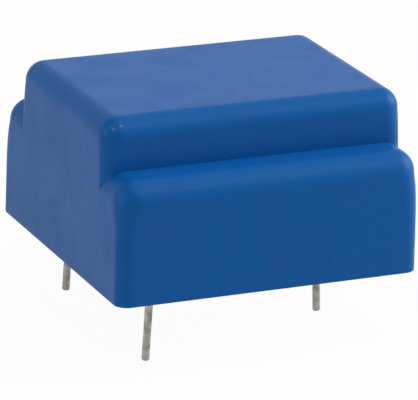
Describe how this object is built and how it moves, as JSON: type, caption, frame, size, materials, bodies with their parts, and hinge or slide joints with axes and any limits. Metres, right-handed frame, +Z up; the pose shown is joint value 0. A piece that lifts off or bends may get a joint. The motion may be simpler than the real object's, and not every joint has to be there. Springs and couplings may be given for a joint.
{
  "type": "encapsulated pcb transformer",
  "caption": "Encapsulated mains transformer for a circuit board: stepped, round-edged plastic case filled with resin round an EE core and a split bobbin, on round solder pins.",
  "frame": {"origin": "middle of the seating plane, which is the rim of the case", "axes": "+Z up, away from the circuit board; +X from the row of primary pins to the row of secondary pins"},
  "size_m": [0.0228, 0.0224, 0.0179],
  "materials": {
    "case_plastic": "blue moulded thermoplastic with a fine spark-eroded grain",
    "resin": "dark cast resin, smooth, with a meniscus at the walls and the pins",
    "bobbin_plastic": "glass-filled moulded plastic, natural colour",
    "core_steel": "silicon steel laminations with an oxide film",
    "enamelled_wire": "enamelled copper wire",
    "tape": "polyester film tape",
    "pin_tin": "matte tinned wire",
    "solder": "dipped solder"
  },
  "bodies": {
    "root": {"housing": "case_plastic", "potting_resin": "resin", "bobbin": "bobbin_plastic", "core_left": "core_steel", "core_right": "core_steel", "primary_winding": "enamelled_wire", "secondary_winding": "enamelled_wire", "primary_tape": "tape", "secondary_tape": "tape", "primary_pin_front": "pin_tin", "primary_pin_rear": "pin_tin", "secondary_pin_front": "pin_tin", "secondary_pin_rear": "pin_tin", "primary_lead_front": "enamelled_wire", "primary_lead_rear": "enamelled_wire", "secondary_lead_front": "enamelled_wire", "secondary_lead_rear": "enamelled_wire", "primary_solder_front": "solder", "primary_solder_rear": "solder", "secondary_solder_front": "solder", "secondary_solder_rear": "solder"}
  },
  "joints": []
}
